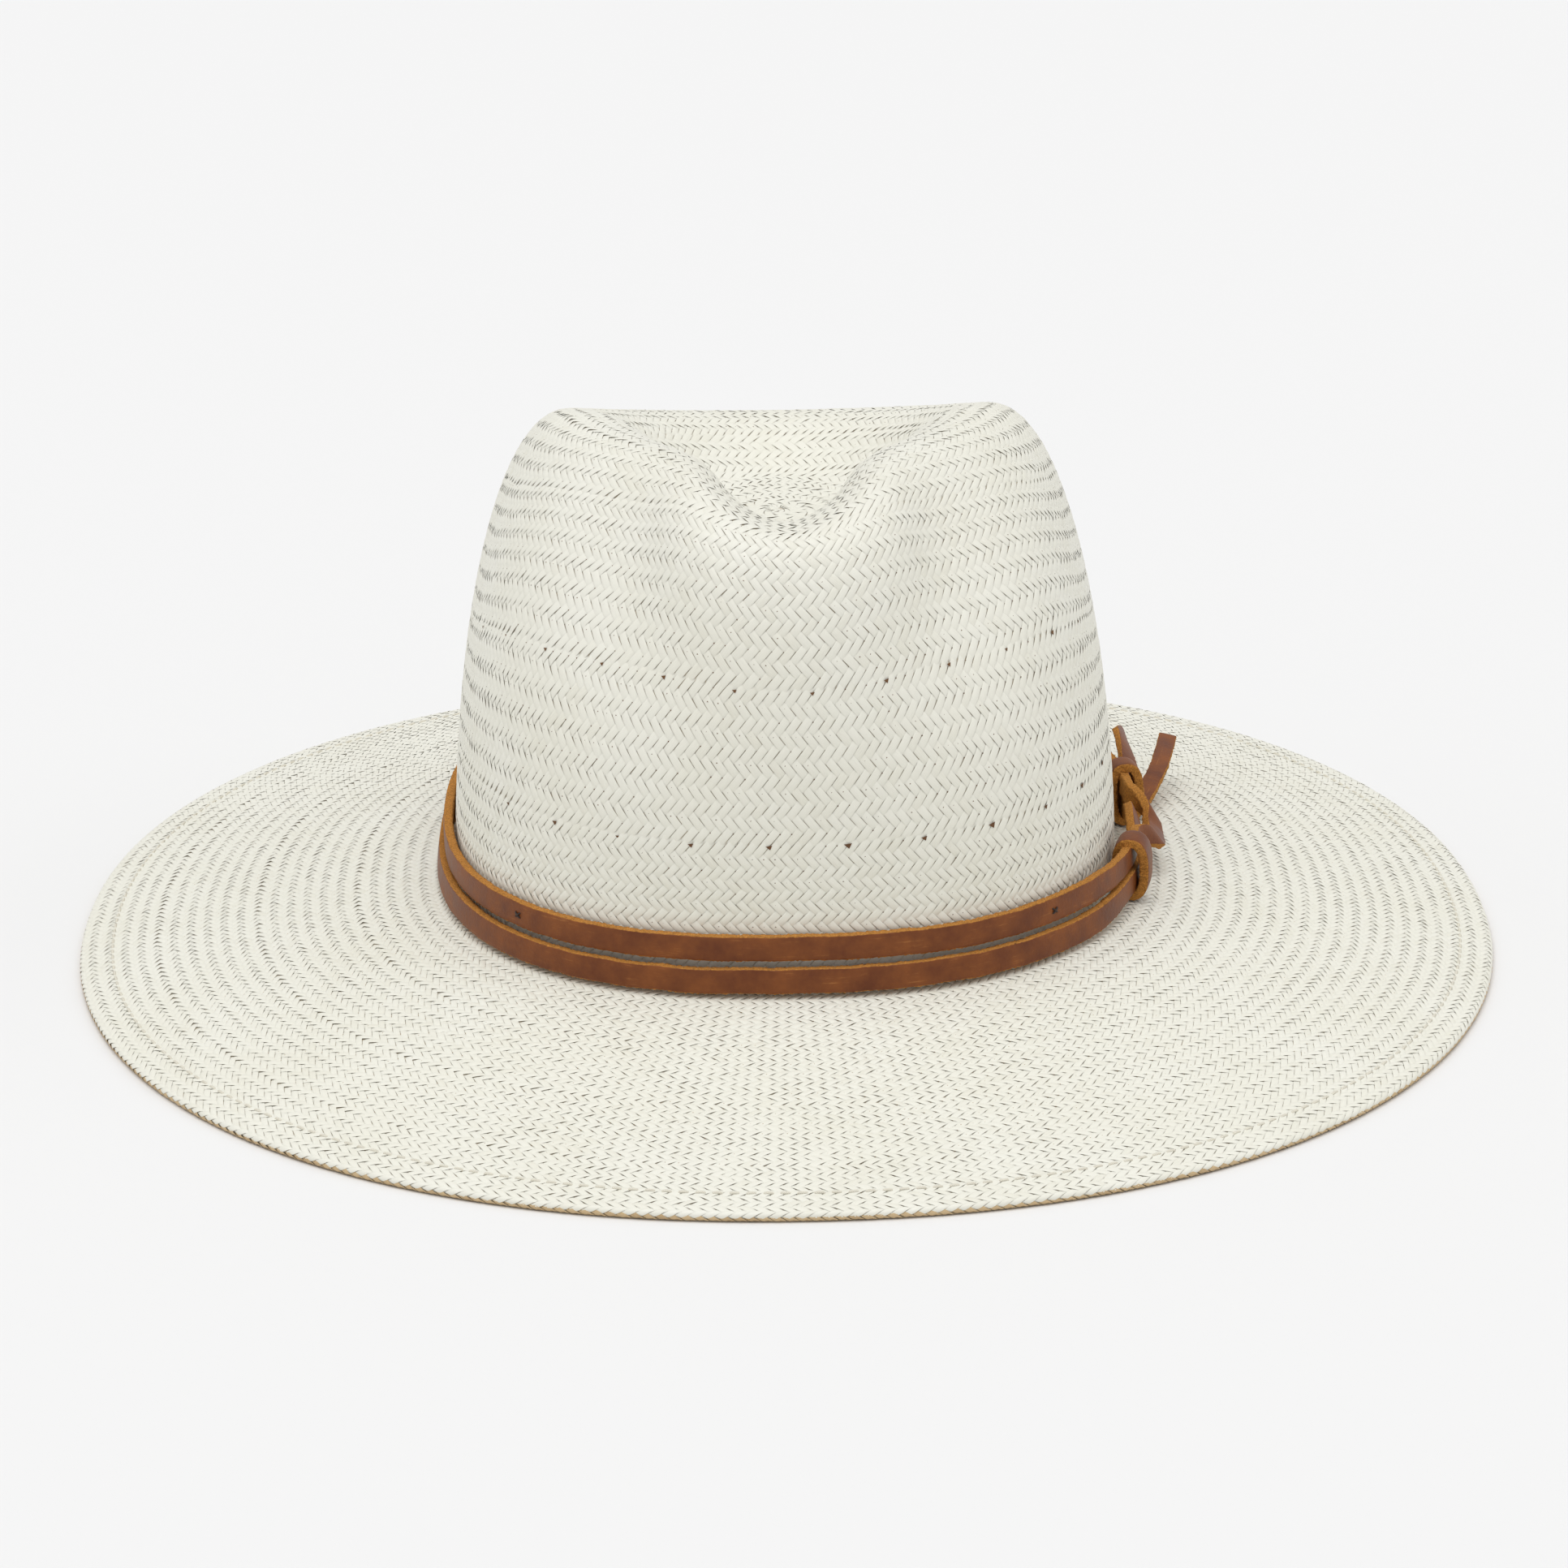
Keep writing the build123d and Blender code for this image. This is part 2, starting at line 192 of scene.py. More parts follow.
class Skin:
    """A surface laid out evenly: turn 0..1 round the hat, and length along its rise.

    Low rows keep an even distance from the brim, and rows above `blend` keep an even
    distance from the middle of the crown, as rows woven from there outwards do.
    """

    def __init__(self, point, top, side, blend=None):
        self.point = point
        self.side = side
        levels, columns, samples = 161, 361, 721
        self.last_row = levels - 1
        self.last_column = columns - 1
        stations = np.linspace(0, top, levels)
        dense = np.linspace(0, 2 * pi, samples) + pi / 2
        grid = point(np.tile(dense, (levels, 1)), np.repeat(stations[:, None], samples, 1))
        rise = np.linalg.norm(np.diff(grid, axis=0), axis=2)
        climb = np.concatenate([np.zeros((1, samples)), np.cumsum(rise, 0)])
        total = climb[-1].mean()
        self.lengths = np.linspace(0, total, levels)
        if blend:
            share = smooth_step(self.lengths, *blend)[:, None]
        else:
            share = self.lengths[:, None] / total
        wanted = self.lengths[:, None] + (climb[-1][None] - total) * share
        own = [np.interp(wanted[:, c], climb[:, c], stations) for c in range(samples)]
        own = np.stack(own, 1)
        rows = point(np.tile(dense, (levels, 1)), own)
        around = np.cumsum(np.linalg.norm(np.diff(rows, axis=1), axis=2), 1)
        around = np.concatenate([np.zeros((levels, 1)), around], 1)
        self.girths = around[:, -1]
        turns = np.linspace(0, 1, columns)
        self.angle_table = np.stack([np.interp(turns, row / row[-1], dense) for row in around])
        self.station_table = np.stack([np.interp(turns, row / row[-1], line)
                                       for row, line in zip(around, own)])

    def girth(self, length):
        return np.interp(length, self.lengths, self.girths)

    def place(self, turn, length):
        """Points for arrays of turns and lengths."""
        row = np.clip(length / self.lengths[1], 0, self.last_row - 0.001)
        col = np.clip((turn - np.floor(turn)) * self.last_column, 0, self.last_column - 0.001)
        r, c = row.astype(int), col.astype(int)
        fr, fc = row - r, col - c
        found = []
        for table in (self.angle_table, self.station_table):
            low = table[r, c] * (1 - fc) + table[r, c + 1] * fc
            high = table[r + 1, c] * (1 - fc) + table[r + 1, c + 1] * fc
            found.append(low * (1 - fr) + high * fr)
        return self.point(*found)

    def offset(self, turn, length, height):
        """Points lifted off the surface by a height along its normal."""
        here = self.place(turn, length)
        ahead = self.place(turn + 1e-4, length)
        up = self.place(turn, length + 0.05 * MM)
        down = self.place(turn, length - 0.05 * MM)
        normal = np.cross(ahead - here, up - down) * self.side
        normal /= np.linalg.norm(normal, axis=-1, keepdims=True) + 1e-12
        return here + normal * height[..., None]


crown_skin = Skin(crown_point, 3.0, 1.0, (25 * MM, 95 * MM))
brim_skin = Skin(brim_point, brim_length, -1.0)


# ---------------------------------------------------------------- meshes
def mesh_piece(name, points, faces, material, uv=None, tone=None, smooth=True):
    """Object from an array of points and an array of quads."""
    mesh = bpy.data.meshes.new(name)
    count, sides = faces.shape
    mesh.vertices.add(len(points))
    mesh.vertices.foreach_set("co", points.astype(np.float32).ravel())
    mesh.loops.add(faces.size)
    mesh.loops.foreach_set("vertex_index", faces.astype(np.int32).ravel())
    mesh.polygons.add(count)
    mesh.polygons.foreach_set("loop_start", np.arange(0, faces.size, sides, dtype=np.int32))
    mesh.update(calc_edges=True)
    mesh.polygons.foreach_set("use_smooth", np.full(count, smooth))
    if uv is not None:
        layer = mesh.uv_layers.new(name="OFBake")
        layer.data.foreach_set("uv", uv[faces.ravel()].astype(np.float32).ravel())
    if tone is not None:
        attribute = mesh.attributes.new("fibre", "FLOAT_VECTOR", "POINT")
        attribute.data.foreach_set("vector", tone.astype(np.float32).ravel())
    mesh.validate()
    piece = bpy.data.objects.new(name, mesh)
    bpy.context.scene.collection.objects.link(piece)
    mesh.materials.append(material)
    return piece


def grid_faces(rows, cols, close_rows=False, close_cols=False):
    """Quads of a grid of rows x cols points."""
    r = np.arange(rows if close_rows else rows - 1)[:, None]
    c = np.arange(cols if close_cols else cols - 1)[None, :]
    a = r * cols + c
    b = r * cols + (c + 1) % cols
    d = ((r + 1) % rows) * cols + c
    e = ((r + 1) % rows) * cols + (c + 1) % cols
    return np.stack([a, b, e, d], -1).reshape(-1, 4)


# ---------------------------------------------------------------- materials
class Nodes:
    """A material and short calls that add nodes to it."""

    def __init__(self, name):
        self.material = bpy.data.materials.new(name)
        self.material.use_nodes = True
        self.tree = self.material.node_tree
        self.shader = self.tree.nodes["Principled BSDF"]

    def add(self, kind, values=None, **fields):
        node = self.tree.nodes.new(kind)
        for key, value in fields.items():
            setattr(node, key, value)
        for key, value in (values or {}).items():
            node.inputs[key].default_value = value
        return node

    def link(self, source, target):
        self.tree.links.new(source, target)

    def noise(self, vector, scale, detail=3.0, rough=0.6):
        node = self.add("ShaderNodeTexNoise", {"Scale": scale, "Detail": detail, "Roughness": rough})
        self.link(vector, node.inputs["Vector"])
        return node.outputs["Fac"]

    def stretch(self, vector, scale):
        node = self.add("ShaderNodeMapping", {"Scale": scale})
        self.link(vector, node.inputs["Vector"])
        return node.outputs["Vector"]

    def ramp(self, factor, stops):
        node = self.add("ShaderNodeValToRGB")
        marks = node.color_ramp.elements
        while len(marks) < len(stops):
            marks.new(0.5)
        for mark, (place, colour) in zip(marks, stops):
            mark.position = place
            mark.color = (*colour, 1)
        self.link(factor, node.inputs["Fac"])
        return node.outputs["Color"]

    def mix(self, factor, first, second, blend="MIX"):
        node = self.add("ShaderNodeMix", data_type="RGBA", blend_type=blend)
        for socket, value in ((node.inputs[0], factor), (node.inputs[6], first),
                              (node.inputs[7], second)):
            if isinstance(value, (tuple, float)):
                socket.default_value = (*value, 1) if isinstance(value, tuple) else value
            else:
                self.link(value, socket)
        return node.outputs[2]

    def bump(self, height, strength, distance):
        node = self.add("ShaderNodeBump", {"Strength": strength, "Distance": distance})
        self.link(height, node.inputs["Height"])
        self.link(node.outputs["Normal"], self.shader.inputs["Normal"])

    def math(self, operation, first, second=None):
        node = self.add("ShaderNodeMath", operation=operation)
        for socket, value in ((node.inputs[0], first), (node.inputs[1], second)):
            if value is None:
                continue
            if isinstance(value, float):
                socket.default_value = value
            else:
                self.link(value, socket)
        return node.outputs[0]


def position(n):
    return n.add("ShaderNodeTexCoord").outputs["Object"]


def straw_material(name, pale, deep, gloss):
    """Bleached straw: every strand has its own tone, fine fibres along it and a satin gloss."""
    n = Nodes(name)
    fibre = n.add("ShaderNodeAttribute", attribute_name="fibre")
    streaks = n.noise(n.stretch(fibre.outputs["Vector"], (1.2, 16.0, 40.0)), 1.0, 3.0)
    patches = n.noise(position(n), 30.0, 2.0)
    parts = n.add("ShaderNodeSeparateXYZ")
    n.link(fibre.outputs["Vector"], parts.inputs[0])
    tone = n.ramp(parts.outputs["Z"], ((0.0, deep), (0.3, pale), (1.0, pale)))
    light = tuple(min(1.0, c * 1.05) for c in pale)
    colour = n.mix(n.ramp(streaks, ((0.35, (0, 0, 0)), (0.75, (1, 1, 1)))), tone, light)
    shade = n.ramp(patches, ((0.3, (0.975, 0.97, 0.95)), (0.7, (1.0, 1.0, 1.0))))
    n.link(n.mix(1.0, colour, shade, "MULTIPLY"), n.shader.inputs["Base Color"])
    n.link(n.ramp(streaks, ((0.3, (gloss, gloss, gloss)), (0.8, (0.62, 0.62, 0.62)))),
           n.shader.inputs["Roughness"])
    n.shader.inputs["Specular IOR Level"].default_value = 0.45
    n.bump(streaks, 0.25, 0.00006)
    return n.material


def pinhole_shade_material():
    """Painted shade for the inside of the weave, seen through its pinholes: tan in the brim, brown
    above.
    """
    n = Nodes("straw_pinhole_painted_shade")
    height = n.add("ShaderNodeSeparateXYZ")
    n.link(position(n), height.inputs[0])
    # painted shade chosen by height: tan at brim level, dark brown up the crown
    level = n.math("MULTIPLY", height.outputs["Z"], 10.0)
    colour = n.ramp(level, ((0.19, (0.42, 0.25, 0.10)), (0.27, (0.13, 0.055, 0.02)),
                            (1.0, (0.17, 0.08, 0.03))))
    mottle = n.ramp(n.noise(position(n), 260.0, 2.0), ((0.3, (0.75, 0.75, 0.75)), (0.7, (1, 1, 1))))
    n.link(n.mix(1.0, colour, mottle, "MULTIPLY"), n.shader.inputs["Base Color"])
    n.shader.inputs["Roughness"].default_value = 0.8
    return n.material


def leather_material(name, brown, dark, scuff, tan, gloss):
    """Waxed leather: smooth mottled face with pale scuffs, and rough tan fibres where cut."""
    n = Nodes(name)
    fibre = n.add("ShaderNodeAttribute", attribute_name="fibre").outputs["Vector"]
    parts = n.add("ShaderNodeSeparateXYZ")
    n.link(fibre, parts.inputs[0])
    where = position(n)
    clouds = n.noise(where, 130.0, 4.0)
    scratches = n.noise(n.stretch(fibre, (0.10, 1.6, 0.0)), 1.0, 5.0, 0.75)
    grain = n.noise(where, 1500.0, 3.0)
    face = n.mix(n.ramp(clouds, ((0.3, (0, 0, 0)), (0.7, (1, 1, 1)))), dark, brown)
    worn = n.ramp(scratches, ((0.56, (0, 0, 0)), (0.72, (1, 1, 1))))
    face = n.mix(n.mix(1.0, worn, n.ramp(clouds, ((0.45, (0, 0, 0)), (0.65, (0.8, 0.8, 0.8)))),
                       "MULTIPLY"), face, scuff)
    fuzz = n.noise(where, 2600.0, 4.0, 0.7)
    deep_tan = tuple(c * 0.42 for c in tan)
    raw = n.mix(n.ramp(fuzz, ((0.35, (0, 0, 0)), (0.65, (1, 1, 1)))), deep_tan, tan)
    n.shader.inputs["Specular IOR Level"].default_value = 0.3
    edge = n.ramp(n.math("ADD", parts.outputs["Z"], n.math("MULTIPLY", grain, 0.3)),
                  ((0.45, (0, 0, 0)), (0.75, (1, 1, 1))))
    n.link(n.mix(edge, face, raw), n.shader.inputs["Base Color"])
    n.link(n.mix(edge, n.ramp(clouds, ((0.3, (gloss,) * 3), (0.7, (gloss + 0.16,) * 3))),
                 (0.92, 0.92, 0.92)), n.shader.inputs["Roughness"])
    n.bump(n.mix(edge, grain, fuzz), 0.6, 0.00012)
    return n.material


def hide_material(name, brown, dark, gloss):
    """Smooth sweatband leather with a pebbled grain and darker handled patches."""
    n = Nodes(name)
    where = position(n)
    cells = n.add("ShaderNodeTexVoronoi", {"Scale": 900.0}, feature="F1")
    n.link(where, cells.inputs["Vector"])
    clouds = n.noise(where, 45.0, 3.0)
    tone = n.mix(n.ramp(clouds, ((0.3, (0, 0, 0)), (0.7, (1, 1, 1)))), dark, brown)
    creases = n.ramp(cells.outputs["Distance"], ((0.0, (1, 1, 1)), (0.7, (0.8, 0.8, 0.8))))
    n.link(n.mix(1.0, tone, creases, "MULTIPLY"), n.shader.inputs["Base Color"])
    n.shader.inputs["Roughness"].default_value = gloss
    n.bump(cells.outputs["Distance"], 0.4, 0.0001)
    return n.material


def thread_material(name, pale, deep, gloss):
    """Twisted thread with its plies as fine slanted ribs."""
    n = Nodes(name)
    fibre = n.add("ShaderNodeAttribute", attribute_name="fibre").outputs["Vector"]
    plies = n.add("ShaderNodeTexWave", {"Scale": 0.55, "Distortion": 1.0}, bands_direction="DIAGONAL")
    n.link(fibre, plies.inputs["Vector"])
    n.link(n.mix(plies.outputs["Fac"], deep, pale), n.shader.inputs["Base Color"])
    n.shader.inputs["Roughness"].default_value = gloss
    n.bump(plies.outputs["Fac"], 0.5, 0.0001)
    return n.material


def cloth_material(name, pale, deep, threads):
    """Plain woven cloth or ribbon: a fine grid of warp and weft."""
    n = Nodes(name)
    where = position(n)
    parts = []
    for direction in ("X", "Z"):
        wave = n.add("ShaderNodeTexWave", {"Scale": threads, "Distortion": 0.4},
                     bands_direction=direction)
        n.link(where, wave.inputs["Vector"])
        parts.append(wave.outputs["Fac"])
    weave = n.math("MULTIPLY", parts[0], parts[1])
    n.link(n.mix(n.ramp(weave, ((0.1, (0, 0, 0)), (0.8, (1, 1, 1)))), deep, pale),
           n.shader.inputs["Base Color"])
    n.shader.inputs["Roughness"].default_value = 0.85
    n.bump(weave, 0.4, 0.00015)
    return n.material


def steel_material():
    """Drawn spring wire with faint lengthwise marks."""
    n = Nodes("drawn_steel")
    marks = n.noise(position(n), 900.0, 2.0)
    n.link(n.ramp(marks, ((0.3, (0.42, 0.42, 0.43)), (0.7, (0.6, 0.6, 0.6)))),
           n.shader.inputs["Base Color"])
    n.shader.inputs["Metallic"].default_value = 1.0
    n.shader.inputs["Roughness"].default_value = 0.35
    return n.material


straw = straw_material("bleached_straw", (0.80, 0.79, 0.71), (0.76, 0.745, 0.655), 0.34)
# darker, warmer copy of the straw: painted shade for the inside of the crown and the underside of the
# brim
under_straw_painted_shade = straw_material("under_straw_painted_shade", (0.74, 0.70, 0.60), (0.66, 0.60, 0.48), 0.5)
# tan copy of the straw, darkened as painted shade for the strands beneath the weave
inner_straw_painted_shade = straw_material("inner_straw_painted_shade", (0.72, 0.65, 0.52), (0.66, 0.57, 0.44), 0.7)
# tan, darker copy of the straw: painted shade for the folded hem's underside, a thin tan line below the
# edge
hem_straw_painted_shade = straw_material("hem_straw_painted_shade", (0.62, 0.46, 0.26), (0.48, 0.33, 0.17), 0.5)
# painted shade seen through the pinholes of the weave
painted_hole_shade = pinhole_shade_material()
leather = leather_material("lace_leather", (0.235, 0.070, 0.014), (0.125, 0.030, 0.006),
                           (0.46, 0.19, 0.05), (0.60, 0.26, 0.05), 0.38)
sweat_leather = hide_material("sweat_leather", (0.12, 0.052, 0.024), (0.075, 0.03, 0.014), 0.42)
cream_thread = thread_material("cream_thread", (0.78, 0.75, 0.65), (0.68, 0.64, 0.53), 0.6)
tan_thread = thread_material("tan_thread", (0.42, 0.24, 0.10), (0.28, 0.15, 0.06), 0.6)
dark_thread = thread_material("dark_thread", (0.035, 0.012, 0.006), (0.02, 0.008, 0.004), 0.45)
ribbon = cloth_material("grosgrain_ribbon", (0.07, 0.03, 0.015), (0.03, 0.012, 0.006), 450.0)
label = cloth_material("label_cloth", (0.74, 0.69, 0.57), (0.55, 0.50, 0.40), 380.0)
steel = steel_material()


# ---------------------------------------------------------------- weave
fine_along = np.array([-1.5, -1.25, -0.9, -0.35, 0.35, 0.9, 1.25, 1.5])
fine_across = np.array([-0.5, -0.37, 0.37, 0.5])
plain_along = np.array([-1.5, -0.8, 0.0, 0.8, 1.5])
plain_across = np.array([-0.5, 0.0, 0.5])
weave_height = 0.42 * MM
weave_camber = 0.13 * MM
weave_sink = 0.50 * MM
inner_sink = 0.85 * MM
core_depth = 0.54 * MM
crown_row = 1.42 * MM
crown_strand = 2.75 * MM
crown_hole = 0.42 * MM
brim_row = 1.06 * MM
brim_strand = 2.9 * MM
brim_hole = 0.34 * MM
increase_hole = 1.7 * MM
increase_every = 7


def dress(piece, node, body=HAT):
    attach(piece, body)
    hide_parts(node)
    return piece


def weave_zone(name, skin, start, end, strands, row, material, inside=False):
    """Herringbone rows of floats between two lengths: each float is one short strip."""
    along, across = (plain_along, plain_across) if inside else (fine_along, fine_across)
    rows = max(2, int(round((end - start) / (2 * row))))
    step = (end - start) / (2 * rows)
    k, m = np.meshgrid(np.arange(rows), np.arange(strands), indexing="ij")
    k, m = k.ravel(), m.ravel()
    lean = np.where(k % 2 == 0, 1.0, -1.0)
    side = (lean < 0).astype(int)
    strand = np.where(lean > 0, m - k, m + k) % strands
    strand_tone = rng.random((2, strands))[side, strand]
    strand_width = 0.92 + 0.04 * rng.random((2, strands))[side, strand]
    spread = rng.standard_normal((4, len(k))).clip(-2, 2)
    width = (strand_width + 0.012 * spread[0])[:, None, None]
    slip = (0.012 * spread[1])[:, None, None]
    tilt = (0.03 * MM * spread[2])[:, None, None]
    lift = (0.02 * MM * spread[3])[:, None, None]
    turned = lean[:, None, None]
    a = along[None, :, None]
    part = across[None, None, :]
    b = part * width + slip
    p = 2.0 * m[:, None, None] + turned * (0.5 + a + b)
    q = 2.0 * k[:, None, None] + 0.5 + a - b
    arch = 1 - np.abs(a / 1.5) ** 2.4 * 1.15
    height = (weave_height + lift) * arch - weave_camber * (2 * part) ** 4
    height = height + 2 * tilt * part
    turn = p / (2 * strands)
    length = start + (q + 0.5) * step
    height = -inner_sink - height if inside else height - weave_sink
    points = skin.offset(turn, length, height)
    faces = grid_faces(len(along), len(across))
    if (skin.side < 0) != inside:
        faces = faces[:, ::-1]
    faces = np.where(turned > 0, faces[None], faces[None, :, ::-1])
    faces = (faces + (np.arange(len(k)) * len(along) * len(across))[:, None, None]).reshape(-1, 4)
    rise = (length - start + 2 * MM) / (end - start + 4 * MM)
    uv = np.stack([(turn + 0.02) / 1.04, rise.clip(0, 1)], -1).reshape(-1, 2)
    tone = np.stack([a + 0 * b + 7.3 * strand[:, None, None], b + 0 * a,
                     0 * (a + b) + strand_tone[:, None, None]], -1).reshape(-1, 3)
    piece = mesh_piece(name, points.reshape(-1, 3), faces, material, uv, tone)
    return dress(piece, "straw_body")


def pinholes(name, skin, start, end, strands, row, size, big=None):
    """Small dark triangles of painted shade at the seams between herringbone rows, where the pinholes
    are, larger along an increase row.
    """
    rows = max(2, int(round((end - start) / (2 * row))))
    step = (end - start) / (2 * rows)
    k, m = np.meshgrid(np.arange(rows), np.arange(strands), indexing="ij")
    k, m = k.ravel(), m.ravel()
    spots = np.random.default_rng(strands).random((3, len(k)))
    scale = size * np.clip(spots[0] * 1.6 - 0.35, 0, 1)
    if big is not None:
        increase = (k == big) & (m % increase_every == 3) & (spots[2] > 0.12)
        scale = np.where(increase, increase_hole * (0.45 + 0.75 * spots[1]), scale)
    keep = scale > 0.12 * MM
    k, m, scale, spin = k[keep], m[keep], scale[keep], spots[2][keep]
    depth = np.where(scale > 1.0 * MM, 0.03 * MM, -0.16 * MM)[:, None]
    lean = np.where(k % 2 == 0, 1.0, -1.0)
    p = 2.0 * m + np.where(k % 2 == 0, 0.0, 1.0)
    turn0 = p / (2 * strands)
    length0 = start + (2.0 * k + 1.5) * step
    corner = np.arange(3) * 2 * pi / 3
    reach = 0.5 * scale[:, None]
    du = reach * np.cos(corner + lean[:, None] * 0.5 + 0.4 * spin[:, None]) * 1.25
    dv = reach * np.sin(corner + lean[:, None] * 0.5 + 0.4 * spin[:, None]) * 0.8
    turn = turn0[:, None] + du / skin.girth(length0)[:, None]
    length = length0[:, None] + dv
    points = skin.offset(turn, length, depth + np.zeros(turn.shape))
    faces = np.arange(points.shape[0] * 3).reshape(-1, 3)
    if skin.side < 0:
        faces = faces[:, ::-1]
    uv = np.stack([(turn + 0.02) / 1.04, (length - start) / (end - start)], -1).reshape(-1, 2)
    # the triangles take the painted pinhole shade
    piece = mesh_piece(name, points.reshape(-1, 3), faces, painted_hole_shade, uv.clip(0, 1), smooth=False)
    return dress(piece, "straw_body")


def skin_sheet(name, skin, end, columns, rows):
    """Plain sheet under the weave, which shows as a paler tone between the strands: straw in painted
    shade, tan for the shaded strands beneath.
    """
    turn, length = np.meshgrid(np.arange(columns) / columns, np.linspace(0, end, rows))
    points = skin.offset(turn, length, np.full(turn.shape, -core_depth))
    faces = grid_faces(rows, columns, close_cols=True)
    uv = np.stack([turn, length / end], -1).reshape(-1, 2)
    # the sheet's tan is painted shade
    piece = mesh_piece(name, points.reshape(-1, 3), faces, inner_straw_painted_shade, uv)
    return dress(piece, "straw_body")


def strands_at(skin, length, pitch):
    return max(8, int(round(skin.girth(length) / pitch)))


def weave_crown():
    """Bands of rows up the crown, with fewer strands in each; two end in an increase row."""
    total = crown_skin.lengths[-1]
    marks = np.array([0, 36, 67, 103, 127, 146, 160, 172, 184]) * MM
    marks = np.append(marks[marks < total - 6 * MM], total - 1 * MM)
    for index, (start, end) in enumerate(zip(marks[:-1], marks[1:])):
        band = (crown_skin, start, end, strands_at(crown_skin, (start + end) / 2, crown_strand))
        weave_zone(f"crown_weave_{index + 1}", *band, crown_row, straw)
        if index < 7:
            last = int(round((end - start) / (2 * crown_row))) - 1
            pinholes(f"crown_pinholes_{index + 1}", *band, crown_row, crown_hole,
                     last if index < 2 else None)
        # inside of the crown in straw with painted shade
        weave_zone(f"crown_lining_weave_{index + 1}", *band, crown_row, under_straw_painted_shade, inside=True)
    # sheet of painted shade under the crown's weave
    skin_sheet("crown_core_painted_shade", crown_skin, total, 360, 120)


def weave_brim():
    """Bands of rows out to the rolled edge, the hem in straw darkened to a tan painted shade, and the
    underside in straw with painted shade.
    """
    roll = slope_length + 0.56 * bead_length
    marks = np.array([0, 26, 52, 78, roll / MM]) * MM
    for index, (start, end) in enumerate(zip(marks[:-1], marks[1:])):
        band = (brim_skin, start, end, strands_at(brim_skin, (start + end) / 2, brim_strand))
        weave_zone(f"brim_weave_{index + 1}", *band, brim_row, straw)
        if index < 3:
            pinholes(f"brim_pinholes_{index + 1}", *band, brim_row, brim_hole)
    strands = strands_at(brim_skin, slope_length, brim_strand)
    # hem in tan painted shade
    weave_zone("hem_weave", brim_skin, roll, brim_length, strands, brim_row, hem_straw_painted_shade)
    marks = np.array([0, 30, 60, slope_length / MM - 7.0]) * MM
    for index, (start, end) in enumerate(zip(marks[:-1], marks[1:])):
        band = (brim_skin, start, end, strands_at(brim_skin, (start + end) / 2, brim_strand))
        # underside of the brim in straw with painted shade
        weave_zone(f"brim_under_weave_{index + 1}", *band, brim_row, under_straw_painted_shade, inside=True)
    # sheet of painted shade under the brim's weave
    skin_sheet("brim_core_painted_shade", brim_skin, brim_length, 480, 90)


# ---------------------------------------------------------------- laces
band_gap = 0.35 * MM
lace_height = 5.6 * MM
lace_thickness = 2.6 * MM
lower_level = break_level + 2.0 * MM
lace_gap = 0.9 * MM
upper_level = lower_level + lace_height + lace_gap
lap_step = 0.8 * MM
keeper_span = 7.0 * MM
front_knot_y = -38.0 * MM
rear_knot_y = 19.0 * MM
knot_middle = (front_knot_y + rear_knot_y) / 2
cross_reach = 20.0 * MM
stand_off = 3.4 * MM
stand_off_angle = radians(-7.0)
stand_off_spread = radians(34.0)
knot_points = 150
knot_half_depth = 3.6 * MM
knot_half_height = 7.3 * MM
knot_squareness = 2.7
knot_shift = 1.9 * MM
knot_thickness = 2.5 * MM
tail_half_width = 2.35 * MM
tail_thickness = 1.9 * MM
tail_tip_width = 0.3 * MM


def lap_curve(offset, angle):
    """Path of the laces round the crown, pushed out where the knots are."""
    away = (angle - stand_off_angle + pi) % (2 * pi) - pi
    return base_oval(offset + stand_off * np.exp(-(away / stand_off_spread) ** 4), angle)


def unit(v):
    return v / (np.linalg.norm(v, axis=-1, keepdims=True) + 1e-12)


def wander(count, period, seed, closed=True):
    """Smooth random run of values, about -1 to 1."""
    knots = max(4, int(count / period))
    values = np.random.default_rng(seed).standard_normal(knots + 1)
    if closed:
        values[-1] = values[0]
    place = np.linspace(0, knots, count, endpoint=not closed)
    low = place.astype(int).clip(0, knots - 1)
    mix = smooth_step(place - low, 0, 1)
    return (values[low] * (1 - mix) + values[low + 1] * mix) * 0.6


def strip_section():
    """Outline of a lace: across and through it from -1 to 1, and how raw the leather is."""
    face = np.linspace(-0.86, 0.86, 9)
    side = np.array([0.72, 0.3, -0.3, -0.72])
    across = np.concatenate([face, [0.97], np.ones(4), [0.97], face[::-1], [-0.97],
                             -np.ones(4), [-0.97]])
    through = np.concatenate([1 - 0.10 * face ** 2, [0.86], side, [-0.86], -np.ones(9),
                              [-0.86], side[::-1], [0.86]])
    raw = np.concatenate([np.zeros(9), [0.5], np.ones(4), [1.0], np.ones(9), [1.0],
                          np.ones(4), [0.5]])
    return across, through, raw


